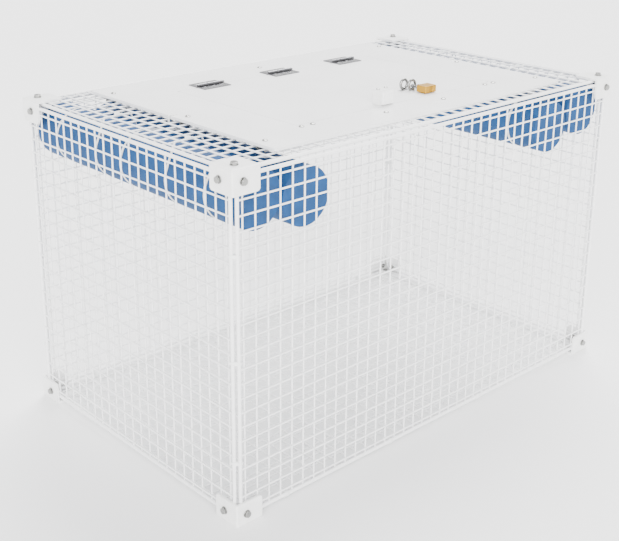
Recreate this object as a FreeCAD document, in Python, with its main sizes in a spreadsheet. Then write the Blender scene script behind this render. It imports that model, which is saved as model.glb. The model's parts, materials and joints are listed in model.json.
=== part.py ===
"""Floating holding pen: a welded mesh box with foam floats, a hinged lid and a padlock.

Frame: +X along the long side, +Y towards the hinges (back), +Z up. The origin is the middle of
the pen's underside. All sizes are in millimetres.
"""
import FreeCAD, Part
import math
import os
import re

from FreeCAD import Placement, Rotation, Vector

doc = FreeCAD.newDocument("holding_pen")

# --------------------------------------------------------------------------- driving sizes

SIZES = {
    # the pen over its corner caps
    "pen_length": 990.6,
    "pen_depth": 609.6,
    "pen_height": 609.6,
    # coated mesh: crossing wires inside a heavier border rod
    "pitch": 25.4,
    "wire": 3.2,
    "rod": 6.4,
    "panel_gap": 0.5,
    # moulded corner caps
    "cap_wall": 4,
    "cap_reach": 50,
    "cap_rise": 38,
    "cap_edge_round": 3,
    "cap_leg_round": 6,
    "bolt_inset": 16.6,
    "side_bolt_inset": 27.5,
    # M6 cap hardware and M5 sheet hardware
    "bolt_radius": 3,
    "bolt_head_across": 5.8,
    "bolt_head_thick": 4,
    "washer_radius": 6.8,
    "washer_thick": 1.6,
    "clamp_radius": 14.5,
    "nut_thick": 3,
    "small_nut_thick": 4,
    "bolt_end": 1,
    "sink_play": 0.3,
    "hole_play": 0.15,
    "screw_radius": 2.5,
    "screw_head_radius": 4.6,
    "screw_head_thick": 2.6,
    # plastic sheet and lid on the top
    "plate_thick": 5,
    "sheet_length": 749.2,
    "sheet_depth": 524,
    "sheet_shift": 0,
    "lid_length": 508,
    "lid_front": 177.8,
    "lid_back": 152.4,
    "lid_gap": 1.5,
    "lid_lift": 0.2,
    "lid_round": 6,
    # hatch in the top mesh
    "hatch_side": 241.3,
    "hatch_front": 152.4,
    "hatch_back": 127,
    # hinges
    "hinge_length": 63.5,
    "hinge_reach": 25.4,
    "hinge_spacing": 177.8,
    "leaf_thick": 2,
    "knuckle_radius": 3.2,
    "knuckle_play": 0.3,
    "pin_radius": 1.6,
    "pin_head_radius": 2.4,
    "pin_head_thick": 1.2,
    "leaf_screw_radius": 2,
    "leaf_screw_head": 4,
    "leaf_screw_pitch": 21,
    "leaf_screw_reach": 15,
    # handle block
    "handle_width": 30,
    "handle_depth": 28,
    "handle_tall": 28,
    "handle_place": 36,
    "handle_overhang": 6,
    "handle_relief": 2.5,
    "handle_round": 3,
    "handle_screw_pitch": 20,
    # eyes and their bracket
    "eye_ring": 8.8,
    "eye_wire": 2.5,
    "eye_rise": 11.3,
    "eye_stem": 3,
    "eye_collar": 5.5,
    "eye_collar_thick": 2,
    "fixed_eye_along": 76.2,
    "fixed_eye_front": 117,
    "lid_eye_along": 84.2,
    "lid_eye_front": 130,
    "slot_half_length": 13.5,
    "slot_half_width": 4.5,
    "bracket_half_width": 18,
    "bracket_thick": 4,
    "bracket_front": 232.6,
    "bracket_back": 101,
    # padlock
    "shackle_radius": 2.25,
    "shackle_spread": 20,
    "shackle_level": 7.8,
    "case_width": 30,
    "case_long": 24,
    "case_thick": 13,
    "case_round": 2,
    "bow_centre": 3.5,
    "case_stand_off": 12.5,
    "short_leg_depth": 8,
    "long_leg_depth": 19,
    "leg_play": 0.35,
    "plug_radius": 4.5,
    "plug_long": 15,
    "plug_play": 0.15,
    "keyway_width": 1.4,
    "keyway_tall": 6,
    "keyway_deep": 10,
    # foam floats and their ties
    "float_radius": 50.8,
    "float_length": 564,
    "outer_float_along": 429,
    "outer_float_level": 545,
    "inner_float_along": 326,
    "inner_float_level": 527,
    "tie_thick": 1.4,
    "tie_width": 4.8,
    "tie_play": 0.4,
    "tie_head_long": 8,
    "tie_head_wide": 6.5,
    "tie_head_thick": 4.5,
    "tie_slot_inset": 13,
    "tie_slot_half_wide": 1.5,
    "tie_slot_half_long": 3.5,
}

sizes = doc.addObject("Spreadsheet::Sheet", "sizes")
for row, (alias, value) in enumerate(SIZES.items(), start=1):
    sizes.set(f"A{row}", alias)
    sizes.set(f"B{row}", str(value))
    sizes.setAlias(f"B{row}", alias)
doc.recompute()


def val(alias):
    """The sheet's value for a size."""
    return float(sizes.get(alias))


# Lines and levels worked out from the driving sizes.
HALF_X = val("pen_length") / 2 - val("cap_wall")
HALF_Y = val("pen_depth") / 2 - val("cap_wall")
FLOOR = val("cap_wall")
ROOF = val("pen_height") - val("cap_wall")
MID_Z = val("pen_height") / 2
ROD, WIRE, PITCH = val("rod"), val("wire"), val("pitch")
INSET = ROD + val("panel_gap")
UNDER_ROOF = ROOF - ROD
PLATE_TOP = ROOF + val("plate_thick")
AXIS_Y = val("lid_back") + val("lid_gap") / 2
AXIS_Z = PLATE_TOP + val("knuckle_radius") + val("knuckle_play")

X, Y, Z = Vector(1, 0, 0), Vector(0, 1, 0), Vector(0, 0, 1)
TURN = {
    "x": Rotation(Z, X),
    "-x": Rotation(Z, -X),
    "y": Rotation(Z, Y),
    "-y": Rotation(Z, -Y),
    "z": Rotation(),
    "-z": Rotation(X, 180),
}

nodes = {}


# --------------------------------------------------------------------------- helpers


def bound(text):
    """An expression on the sheet, from one that uses the bare size names."""
    return re.sub(r"[a-z]+(?:_[a-z]+)*", lambda m: f"sizes.{m[0]}" if m[0] in SIZES else m[0], text)


def primitive(kind, name, at=(0, 0, 0), turn="z", **lengths):
    """A Part primitive whose lengths are bound to the sheet, set at a point and turned from +Z."""
    obj = doc.addObject(f"Part::{kind}", name)
    for prop, text in lengths.items():
        if isinstance(text, str):
            obj.setExpression(prop, bound(text))
        else:
            setattr(obj, prop, text)
    obj.Placement = Placement(Vector(*at), TURN[turn])
    return obj


def block(name, low, high, **lengths):
    """A Part box between two corners, with any of its lengths bound to the sheet."""
    obj = doc.addObject("Part::Box", name)
    obj.Length, obj.Width, obj.Height = (b - a for a, b in zip(low, high))
    for prop, text in lengths.items():
        obj.setExpression(prop, bound(text))
    obj.Placement = Placement(Vector(*low), Rotation())
    return obj


def fused(name, *shapes):
    """One solid joined from several."""
    obj = doc.addObject("Part::MultiFuse", name)
    obj.Shapes = list(shapes)
    obj.Refine = True
    return obj


def cut(name, base, *tools):
    """The base without the tools."""
    tool = tools[0]
    if len(tools) > 1:
        tool = doc.addObject("Part::Compound", name + "_tools")
        tool.Links = list(tools)
    obj = doc.addObject("Part::Cut", name)
    obj.Base, obj.Tool = base, tool
    return obj


def node(label, obj):
    """Names a finished sub-part."""
    obj.Label = label
    nodes[label] = obj
    return obj


def feature(label, shape, placement=None):
    """A sub-part whose shape is made with Part's own functions from the sheet's sizes."""
    obj = doc.addObject("Part::Feature", label)
    obj.Shape = shape
    if placement is not None:
        obj.Placement = placement
    return node(label, obj)


def copies(label, source, places):
    """A group of separate, identical solids: one copy of the source at each placement."""
    doc.recompute()
    shapes = [source.Shape.transformed(p.toMatrix(), True) for p in places]
    return feature(label, Part.makeCompound(shapes))


def at(x, y, z, turn="z"):
    """The placement of a piece made along +Z, moved to a point and turned."""
    return Placement(Vector(x, y, z), TURN[turn])


def edges_where(shape, test):
    """The numbers of the straight edges whose two ends satisfy a test."""
    found = []
    for number, edge in enumerate(shape.Edges, 1):
        if len(edge.Vertexes) == 2 and test(*(v.Point for v in edge.Vertexes)):
            found.append(number)
    return found


def near(a, b):
    return abs(a - b) < 1e-6


def upright(p, q):
    return near(p.x, q.x) and near(p.y, q.y)


def origin_plane(body, role):
    return next(f for f in body.Origin.OriginFeatures if f.Role == role)


def plate_body(name, corners, thickness, level):
    """A PartDesign plate: a closed sketch of straight sides on the XY plane, padded upwards."""
    body = doc.addObject("PartDesign::Body", name)
    sketch = body.newObject("Sketcher::SketchObject", name + "_outline")
    sketch.AttachmentSupport = [(origin_plane(body, "XY_Plane"), "")]
    sketch.MapMode = "FlatFace"
    for (xa, ya), (xb, yb) in zip(corners, corners[1:] + corners[:1]):
        sketch.addGeometry(Part.LineSegment(Vector(xa, ya, 0), Vector(xb, yb, 0)))
    pad = body.newObject("PartDesign::Pad", name + "_pad")
    pad.Profile = sketch
    pad.setExpression("Length", bound(thickness))
    body.Placement = Placement(Vector(0, 0, level), Rotation())
    return body, pad


def body_fillet(body, base, name, radius, test):
    """Rounds the edges of a body whose ends satisfy a test, in the body's own frame."""
    doc.recompute()
    fillet = body.newObject("PartDesign::Fillet", name)
    fillet.Base = (base, [f"Edge{n}" for n in edges_where(base.Shape, test)])
    fillet.setExpression("Radius", bound(radius))
    return fillet


# --------------------------------------------------------------------------- mesh panels


def bars(width):
    """Centre and half width of each bar across a panel: border rods with wires between."""
    span = width - ROD
    gaps = int((span - ROD - 2 * WIRE) / PITCH)
    wires = [((n - gaps / 2) * PITCH, WIRE / 2) for n in range(gaps + 1)]
    return [(-span / 2, ROD / 2), *wires, (span / 2, ROD / 2)]


def rectangle(x0, y0, x1, y1):
    points = [Vector(x0, y0, 0), Vector(x1, y0, 0), Vector(x1, y1, 0), Vector(x0, y1, 0)]
    return Part.makePolygon([*points, points[0]])


def flat_face(x0, y0, x1, y1, holes=()):
    """A rectangle on the XY plane with rectangular holes."""
    wires = [rectangle(*hole) for hole in holes]
    for wire in wires:
        wire.reverse()
    face = Part.Face([rectangle(x0, y0, x1, y1), *wires])
    face.validate()
    return face


def mesh_panel(label, width, tall, placement, window=None):
    """One welded and coated panel, as a slab as thick as the rod with every opening cut through.

    The slab's skin is made row by row, between the middles of the bars, and sewn into one solid.
    window is (x0, y0, x1, y1), the lines of the wires that border a hatch.
    """
    across, along = bars(width), bars(tall)
    middles = [-tall / 2, *(centre for centre, _ in along[1:-1]), tall / 2]
    half = WIRE / 2
    faces = []
    for n, ((low, low_half), (high, high_half)) in enumerate(zip(along, along[1:])):
        y_low, y_high = low + low_half, high - high_half
        in_window = window and window[1] < (low + high) / 2 < window[3]
        holes = [
            (xa + ha, y_low, xb - hb, y_high)
            for (xa, ha), (xb, hb) in zip(across, across[1:])
            if not (in_window and window[0] < (xa + xb) / 2 < window[2])
        ]
        row = flat_face(-width / 2, middles[n], width / 2, middles[n + 1], holes)
        if in_window:
            bottom = max(middles[n] - 1, window[1] + half)
            top = min(middles[n + 1] + 1, window[3] - half)
            row = row.cut(flat_face(window[0] + half, bottom, window[2] - half, top))
        for face in row.extrude(Vector(0, 0, ROD)).Faces:
            box = face.BoundBox
            shared = near(box.YMin, box.YMax) and any(near(box.YMin, m) for m in middles[1:-1])
            if not shared:
                faces.append(face)
    shell = Part.Shell(faces)
    shell.sewShape()
    solid = Part.Solid(shell)
    if solid.Volume < 0:
        solid.reverse()
    return feature(label, solid, placement)


LONG, SHORT = 2 * (HALF_X - INSET), 2 * (HALF_Y - INSET)
TALL = 2 * (MID_Z - FLOOR - INSET)
STAND = Rotation(X, 90)
SIDE = Rotation(Z, 90).multiply(STAND)

mesh_panel("front_panel", LONG, TALL, Placement(Vector(0, -HALF_Y + ROD, MID_Z), STAND))
mesh_panel("back_panel", LONG, TALL, Placement(Vector(0, HALF_Y, MID_Z), STAND))
mesh_panel("left_panel", SHORT, TALL, Placement(Vector(-HALF_X, 0, MID_Z), SIDE))
mesh_panel("right_panel", SHORT, TALL, Placement(Vector(HALF_X - ROD, 0, MID_Z), SIDE))
mesh_panel("floor_panel", LONG, SHORT, at(0, 0, FLOOR))
HATCH = (-val("hatch_side"), -val("hatch_front"), val("hatch_side"), val("hatch_back"))
mesh_panel("top_panel", LONG, SHORT, at(0, 0, UNDER_ROOF), window=HATCH)

# --------------------------------------------------------------------------- corner caps


def corner_cap():
    """A three-way cap in its own frame: the mesh corner is the origin, the mesh lies along +++."""
    wall, reach, rise = val("cap_wall"), val("cap_reach"), val("cap_rise")
    ends = (reach, reach, rise)
    across, tall = "cap_reach + cap_wall", "cap_rise + cap_wall"
    outer = block("cap_outer", (-wall,) * 3, ends, Length=across, Width=across, Height=tall)
    inner = block("cap_inner", (0,) * 3, ends, Length=across, Width=across, Height=tall)
    shell = cut("cap_shell", outer, inner)
    doc.recompute()
    rounding = doc.addObject("Part::Fillet", "cap_rounded")
    rounding.Base = shell
    outer_edges = edges_where(
        shell.Shape, lambda p, q: min(sum(near(c, -wall) for c in v) for v in (p, q)) >= 2
    )
    free_edges = edges_where(
        shell.Shape,
        lambda p, q: near(p.distanceToPoint(q), wall)
        and min(sum(near(c, end) for c, end in zip(v, ends)) for v in (p, q)) == 2,
    )
    rounding.Edges = [(n, val("cap_edge_round"), val("cap_edge_round")) for n in outer_edges] + [
        (n, val("cap_leg_round"), val("cap_leg_round")) for n in free_edges
    ]
    inset, side_inset = val("bolt_inset"), val("side_bolt_inset")
    starts = {
        "x": (-2 * wall, side_inset, inset),
        "y": (inset, -2 * wall, inset),
        "z": (inset, inset, -2 * wall),
    }
    holes = [
        primitive("Cylinder", f"cap_hole_{axis}", start, axis, Radius="bolt_radius + hole_play",
                  Height="cap_wall * 3")
        for axis, start in starts.items()
    ]
    return cut("cap", rounding, *holes)


def cap_at(cap_shape, sx, sy, sz):
    """The cap turned into one corner by mirroring it, as left and right hand caps are made."""
    shape = cap_shape
    for sign, normal in ((sx, X), (sy, Y), (sz, Z)):
        if sign > 0:
            shape = shape.mirror(Vector(0, 0, 0), normal)
    return shape, at(sx * HALF_X, sy * HALF_Y, ROOF if sz > 0 else FLOOR)


cap = corner_cap()
doc.recompute()
SIGNS = (-1, 1)
for sz, level in ((1, "top"), (-1, "bottom")):
    for sy, side in ((-1, "front"), (1, "back")):
        for sx, hand in ((-1, "left"), (1, "right")):
            feature(f"corner_cap_{level}_{side}_{hand}", *cap_at(cap.Shape, sx, sy, sz))

# --------------------------------------------------------------------------- hardware

STACK = val("cap_wall") + ROD
hex_head = primitive("Prism", "hex_head", (0, 0, -val("bolt_head_thick")),
                     Circumradius="bolt_head_across", Height="bolt_head_thick")
hex_shank = primitive("Cylinder", "hex_shank", Radius="bolt_radius",
                      Height="washer_thick + cap_wall + rod + nut_thick + bolt_end")
hex_bolt = fused("hex_bolt", hex_head, hex_shank)


def bored(name, blank, radius="bolt_radius", turn="z"):
    """A washer or nut: a blank standing on the XY plane with a clearance hole along its axis."""
    bore = primitive("Cylinder", f"{name}_bore", (0, 0, 1 if turn == "-z" else -1), turn,
                     Radius=f"{radius} + hole_play", Height="nut_thick + 2")
    return cut(name, blank, bore)


washer = bored("washer", primitive("Cylinder", "washer_disc", Radius="washer_radius",
                                   Height="washer_thick"))
nut = bored("nut", primitive("Prism", "nut_hex", Circumradius="bolt_head_across",
                             Height="nut_thick"))

# Countersunk bolt for the underside: its flat head lies just inside the cap's lower face.
FLUSH = 0.2
sunk_head = primitive("Cone", "sunk_head", (0, 0, FLUSH), Radius1="bolt_radius * 2",
                      Radius2="bolt_radius", Height="bolt_radius")
sunk_shank = primitive("Cylinder", "sunk_shank", (0, 0, FLUSH), Radius="bolt_radius",
                       Height="cap_wall + rod + nut_thick + bolt_end")
sunk_bolt = fused("sunk_bolt", sunk_head, sunk_shank)


def cap_bolt_axes():
    """Every cap bolt: the point on the cap's outer face, and the inward direction."""
    x_out, y_out = HALF_X + val("cap_wall"), HALF_Y + val("cap_wall")
    x_in, y_in = HALF_X - val("bolt_inset"), HALF_Y - val("bolt_inset")
    y_side = HALF_Y - val("side_bolt_inset")
    top_in, low_in = ROOF - val("bolt_inset"), FLOOR + val("bolt_inset")
    found = []
    for sx in SIGNS:
        for sy in SIGNS:
            for z in (top_in, low_in):
                found.append((sx * x_out, sy * y_side, z, "-x" if sx > 0 else "x"))
                found.append((sx * x_in, sy * y_out, z, "-y" if sy > 0 else "y"))
            found.append((sx * x_in, sy * y_in, val("pen_height"), "-z"))
    return found


def stepped(axes, distance):
    """Placements moved a distance along each bolt's inward direction."""
    placed = []
    for x, y, z, turn in axes:
        move = TURN[turn].multVec(Z) * distance
        placed.append(at(x + move.x, y + move.y, z + move.z, turn))
    return placed


outer_axes = cap_bolt_axes()
floor_axes = [
    (sx * (HALF_X - val("bolt_inset")), sy * (HALF_Y - val("bolt_inset")), 0, "z")
    for sx in SIGNS
    for sy in SIGNS
]
WASHER = val("washer_thick")
copies("cap_bolts", hex_bolt, stepped(outer_axes, -WASHER))
copies("cap_washers", washer, stepped(outer_axes, -WASHER))
copies("cap_nuts", nut, stepped(outer_axes + floor_axes, STACK))
copies("cap_floor_bolts", sunk_bolt, stepped(floor_axes, 0))

# The lower caps are countersunk for those bolts.
sink = primitive("Cone", "sink", (0, 0, -0.01), Radius1="bolt_radius * 2 + sink_play + hole_play",
                 Radius2="bolt_radius + hole_play", Height="bolt_radius + sink_play")
doc.recompute()
sink_shapes = [sink.Shape.transformed(p.toMatrix(), True) for p in stepped(floor_axes, 0)]
for label in [n for n in nodes if n.startswith("corner_cap_bottom")]:
    plain = nodes[label]
    placement = plain.Placement
    shape = plain.Shape
    for tool in sink_shapes:
        if tool.BoundBox.intersect(shape.BoundBox):
            shape = shape.cut(tool)
    plain.Shape = shape.transformed(placement.inverse().toMatrix(), True)
    plain.Placement = placement

# --------------------------------------------------------------------------- top sheet and lid

PAIR_Y = -7.5 * PITCH
SHEET_BOLTS = [
    (sx * 14 * PITCH, y) for sx in SIGNS for y in (-8.5 * PITCH, -0.5 * PITCH, 8.5 * PITCH)
] + [(-3 * PITCH, -8.5 * PITCH), (3 * PITCH, -8.5 * PITCH), (0, 8.5 * PITCH)]
PAIR_BOLTS = [(-10 * PITCH, PAIR_Y), (-9 * PITCH, PAIR_Y), (9 * PITCH, PAIR_Y), (10 * PITCH, PAIR_Y)]
HINGES = {"left": -val("hinge_spacing"), "middle": 0.0, "right": val("hinge_spacing")}
LEAF_SCREWS = [x + n * val("leaf_screw_pitch") for x in HINGES.values() for n in (-1, 0, 1)]
SHEET_TIE_X = val("sheet_length") / 2 - val("tie_slot_inset")
SHEET_TIE_Y = PITCH / 2

sheet_half = val("sheet_length") / 2
sheet_low, sheet_high = (s * val("sheet_depth") / 2 - val("sheet_shift") for s in SIGNS)
sheet_body, sheet_pad = plate_body(
    "sheet_plate",
    [
        (-sheet_half, sheet_low),
        (sheet_half, sheet_low),
        (sheet_half, sheet_high),
        (-sheet_half, sheet_high),
    ],
    "plate_thick",
    ROOF,
)
body_fillet(sheet_body, sheet_pad, "sheet_corners", "lid_round", upright)
lid_body, lid_pad = plate_body(
    "lid_plate",
    [
        (-val("lid_length") / 2, -val("lid_front")),
        (val("lid_length") / 2, -val("lid_front")),
        (val("lid_length") / 2, val("lid_back")),
        (-val("lid_length") / 2, val("lid_back")),
    ],
    "plate_thick - lid_lift",
    ROOF + val("lid_lift"),
)
body_fillet(lid_body, lid_pad, "lid_corners", "lid_round", upright)


def bores(name, points, radius, turn="z", level=ROOF - 1, deep="plate_thick + 2"):
    """A row of drilling cylinders."""
    return [
        primitive("Cylinder", f"{name}_{n}", (x, y, level), turn, Radius=radius, Height=deep)
        for n, (x, y) in enumerate(points)
    ]


window = block(
    "sheet_window",
    (-val("lid_length") / 2 - val("lid_gap"), -val("lid_front") - val("lid_gap"), ROOF - 1),
    (val("lid_length") / 2 + val("lid_gap"), val("lid_back") + val("lid_gap"), PLATE_TOP + 1),
)
FIXED_SCREWS = [(x, AXIS_Y + val("leaf_screw_reach")) for x in LEAF_SCREWS]
MOVING_SCREWS = [(x, AXIS_Y - val("leaf_screw_reach")) for x in LEAF_SCREWS]
SLOT_WIDE, SLOT_LONG = val("tie_slot_half_wide"), val("tie_slot_half_long")
tie_slots = [
    block(
        f"sheet_tie_slot_{n}",
        (s * SHEET_TIE_X - SLOT_WIDE, SHEET_TIE_Y - SLOT_LONG, ROOF - 1),
        (s * SHEET_TIE_X + SLOT_WIDE, SHEET_TIE_Y + SLOT_LONG, PLATE_TOP + 1),
    )
    for n, s in enumerate(SIGNS)
]
node(
    "top_sheet",
    cut(
        "sheet_drilled",
        sheet_body,
        window,
        *tie_slots,
        *bores("sheet_bore", SHEET_BOLTS + PAIR_BOLTS, "screw_radius + hole_play"),
        *bores("sheet_leaf_bore", FIXED_SCREWS, "leaf_screw_radius + hole_play", level=PLATE_TOP - 4.2),
    ),
)

slot_y = -val("fixed_eye_front")
slot = block(
    "eye_slot",
    (val("fixed_eye_along") - val("slot_half_length"), slot_y - val("slot_half_width"), ROOF - 1),
    (val("fixed_eye_along") + val("slot_half_length"), slot_y + val("slot_half_width"), PLATE_TOP + 1),
)
HANDLE_Y = -val("lid_front") - val("handle_overhang") + val("handle_depth") / 2
HANDLE_SCREWS = [
    (-val("handle_place") + s * val("handle_screw_pitch") / 2, HANDLE_Y + 4) for s in SIGNS
]
LID_EYE = (val("lid_eye_along"), -val("lid_eye_front"))
FIXED_EYE = (val("fixed_eye_along"), -val("fixed_eye_front"))
node(
    "lid",
    cut(
        "lid_drilled",
        lid_body,
        slot,
        *bores("lid_leaf_bore", MOVING_SCREWS, "leaf_screw_radius + hole_play", level=PLATE_TOP - 4.2),
        *bores("lid_handle_bore", HANDLE_SCREWS, "leaf_screw_radius + hole_play", level=PLATE_TOP - 4),
        *bores("lid_eye_bore", [LID_EYE], "eye_stem + hole_play"),
    ),
)

# Sheet bolts: pan heads on the sheet, clamp washers under the mesh, hex nuts.
pan = fused(
    "pan_bolt",
    primitive("Cylinder", "pan_head", Radius="screw_head_radius", Height="screw_head_thick"),
    primitive("Cylinder", "pan_shank", turn="-z", Radius="screw_radius",
              Height="plate_thick + rod + washer_thick + 6"),
)
pan_round = doc.addObject("Part::Fillet", "pan_rounded")
doc.recompute()
pan_round.Base = pan
pan_round.Edges = [
    (n, 1.2, 1.2)
    for n, e in enumerate(pan.Shape.Edges, 1)
    if near(e.BoundBox.ZMin, val("screw_head_thick")) and near(e.BoundBox.ZMax, val("screw_head_thick"))
]
small_clamp = bored(
    "small_clamp",
    primitive("Cylinder", "small_clamp_disc", turn="-z", Radius="clamp_radius", Height="washer_thick"),
    "screw_radius",
    "-z",
)
small_nut = bored(
    "small_nut",
    primitive("Prism", "small_nut_hex", turn="-z", Circumradius="screw_head_radius",
              Height="small_nut_thick"),
    "screw_radius",
    "-z",
)
ALL_SHEET_BOLTS = SHEET_BOLTS + PAIR_BOLTS
BRACKET_BOLT = (3 * PITCH, -8.5 * PITCH)
FREE_BOLTS = [p for p in SHEET_BOLTS if p != BRACKET_BOLT]
copies("sheet_bolts", pan_round, [at(x, y, PLATE_TOP) for x, y in ALL_SHEET_BOLTS])
copies("sheet_clamp_washers", small_clamp, [at(x, y, UNDER_ROOF) for x, y in FREE_BOLTS])
nut_levels = [(x, y, UNDER_ROOF - WASHER) for x, y in FREE_BOLTS + PAIR_BOLTS]
nut_levels.append((*BRACKET_BOLT, UNDER_ROOF - val("bracket_thick")))
copies("sheet_nuts", small_nut, [at(*p) for p in nut_levels])
pair_plate = cut(
    "pair_plate",
    block("pair_plate_blank", (-27, -14, -WASHER), (27, 14, 0)),
    *bores("pair_bore", [(-PITCH / 2, 0), (PITCH / 2, 0)], "screw_radius + hole_play", level=-3, deep="6"),
)
copies(
    "hatch_clamp_plates",
    pair_plate,
    [at(s, PAIR_Y, UNDER_ROOF) for s in (-9.5 * PITCH, 9.5 * PITCH)],
)

# --------------------------------------------------------------------------- hinges

SEGMENTS = 5


def leaf(name, own, reach_sign):
    """One hinge leaf about an axis at the origin along X: a plate and its share of knuckles."""
    half, drop = val("hinge_length") / 2, val("knuckle_radius") + val("knuckle_play")
    step = val("hinge_length") / SEGMENTS
    clear = val("knuckle_radius") + 0.5
    ys = sorted((reach_sign * clear, reach_sign * val("hinge_reach")))
    pieces = [
        block(f"{name}_plate", (-half, ys[0], -drop), (half, ys[1], 0), Height="leaf_thick")
    ]
    for n in own:
        start = -half + n * step + 0.15
        ys = sorted((0, reach_sign * (clear + 0.5)))
        pieces.append(
            block(f"{name}_lug_{n}", (start, ys[0], -drop), (start + step - 0.3, ys[1], 0),
                  Height="leaf_thick")
        )
        pieces.append(
            primitive("Cylinder", f"{name}_knuckle_{n}", (start, 0, 0), "x", Radius="knuckle_radius",
                      Height=f"hinge_length / {SEGMENTS} - 0.3")
        )
    bore = primitive("Cylinder", f"{name}_bore", (-half - 1, 0, 0), "x",
                     Radius="pin_radius + 0.1", Height="hinge_length + 2")
    sinks = [
        primitive("Cone", f"{name}_sink_{n}",
                  (n * val("leaf_screw_pitch"), reach_sign * val("leaf_screw_reach"), -drop),
                  Radius1="leaf_screw_radius + hole_play", Radius2="leaf_screw_head + hole_play",
                  Height="leaf_thick")
        for n in (-1, 0, 1)
    ]
    return cut(name, fused(f"{name}_blank", *pieces), bore, *sinks)


fixed_leaf = leaf("fixed_leaf", (0, 2, 4), 1)
moving_leaf = leaf("moving_leaf", (1, 3), -1)
pin_shank = primitive("Cylinder", "pin_shank", (-val("hinge_length") / 2 - 0.3, 0, 0), "x",
                      Radius="pin_radius", Height="hinge_length + 0.6")
pin_heads = [
    primitive("Cylinder", f"pin_head_{n}", (s * (val("hinge_length") / 2 + 0.3), 0, 0), turn,
              Radius="pin_head_radius", Height="pin_head_thick")
    for n, (s, turn) in enumerate(((-1, "-x"), (1, "x")))
]
hinge_pin = fused("hinge_pin", pin_shank, *pin_heads)
doc.recompute()
for hand, x in HINGES.items():
    feature(f"hinge_{hand}_fixed_leaf", fixed_leaf.Shape.copy(), at(x, AXIS_Y, AXIS_Z))
    feature(f"hinge_{hand}_moving_leaf", moving_leaf.Shape.copy(), at(x, AXIS_Y, AXIS_Z))
    feature(f"hinge_{hand}_pin", hinge_pin.Shape.copy(), at(x, AXIS_Y, AXIS_Z))

leaf_screw = fused(
    "leaf_screw",
    primitive("Cone", "leaf_screw_top", turn="-z", Radius1="leaf_screw_head",
              Radius2="leaf_screw_radius", Height="leaf_thick"),
    primitive("Cylinder", "leaf_screw_shank", turn="-z", Radius="leaf_screw_radius",
              Height="leaf_thick + 4"),
)
LEAF_TOP = PLATE_TOP + val("leaf_thick")
copies("sheet_hinge_screws", leaf_screw, [at(x, y, LEAF_TOP) for x, y in FIXED_SCREWS])
copies("lid_hinge_screws", leaf_screw, [at(x, y, LEAF_TOP) for x, y in MOVING_SCREWS])

# --------------------------------------------------------------------------- handle block

handle_half = val("handle_width") / 2
handle_body, handle_pad = plate_body(
    "handle_body",
    [
        (-handle_half, -val("handle_depth") / 2),
        (handle_half, -val("handle_depth") / 2),
        (handle_half, val("handle_depth") / 2),
        (-handle_half, val("handle_depth") / 2),
    ],
    "handle_tall",
    PLATE_TOP,
)
body_fillet(handle_body, handle_pad, "handle_sides", "handle_round", upright)
handle_body.Placement.Base = Vector(-val("handle_place"), HANDLE_Y, PLATE_TOP)
relief_edge = -val("lid_front")
handle_relief = block(
    "handle_relief_tool",
    (-val("handle_place") - 20, HANDLE_Y - 20, PLATE_TOP - 1),
    (-val("handle_place") + 20, relief_edge, PLATE_TOP + val("handle_relief")),
)
node(
    "handle_block",
    cut(
        "handle_cut",
        handle_body,
        handle_relief,
        *bores("handle_bore", HANDLE_SCREWS, "leaf_screw_radius + hole_play", level=PLATE_TOP - 1,
               deep="handle_tall + 2"),
    ),
)
handle_screw = fused(
    "handle_screw",
    primitive("Cylinder", "handle_screw_head", Radius="leaf_screw_head - 0.5", Height="2"),
    primitive("Cylinder", "handle_screw_shank", turn="-z", Radius="leaf_screw_radius",
              Height="handle_tall + 3.8"),
)
copies(
    "handle_screws",
    handle_screw,
    [at(x, y, PLATE_TOP + val("handle_tall")) for x, y in HANDLE_SCREWS],
)

# --------------------------------------------------------------------------- lock: eyes

RING_Z = PLATE_TOP + val("eye_rise")


def eye(name, x, y, foot, collar_level):
    """An eye bolt: a ring across Y on a stem, with a collar."""
    ring = primitive("Torus", f"{name}_ring", (x, y, RING_Z), "y", Radius1="eye_ring",
                     Radius2="eye_wire")
    stem = primitive("Cylinder", f"{name}_stem", (x, y, foot), Radius="eye_stem",
                     Height=RING_Z - val("eye_ring") - foot)
    collar = primitive("Cylinder", f"{name}_collar", (x, y, collar_level), Radius="eye_collar",
                       Height="eye_collar_thick")
    return fused(name, ring, stem, collar)


bracket_top = UNDER_ROOF
LID_EYE_FOOT = ROOF + val("lid_lift") - val("small_nut_thick") - 1.2
FIXED_EYE_FOOT = bracket_top - val("bracket_thick") - val("small_nut_thick") - 2 * val("bolt_end")
node("lid_eye", eye("lid_eye_shape", *LID_EYE, LID_EYE_FOOT, PLATE_TOP))
node("fixed_eye", eye("fixed_eye_shape", *FIXED_EYE, FIXED_EYE_FOOT, bracket_top))
eye_nut = bored(
    "eye_nut",
    primitive("Prism", "eye_nut_hex", turn="-z", Circumradius="bolt_head_across",
              Height="small_nut_thick"),
    "eye_stem",
    "-z",
)
copies("lid_eye_nut", eye_nut, [at(*LID_EYE, ROOF + val("lid_lift"))])
copies("fixed_eye_nut", eye_nut, [at(*FIXED_EYE, bracket_top - val("bracket_thick"))])

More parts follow.
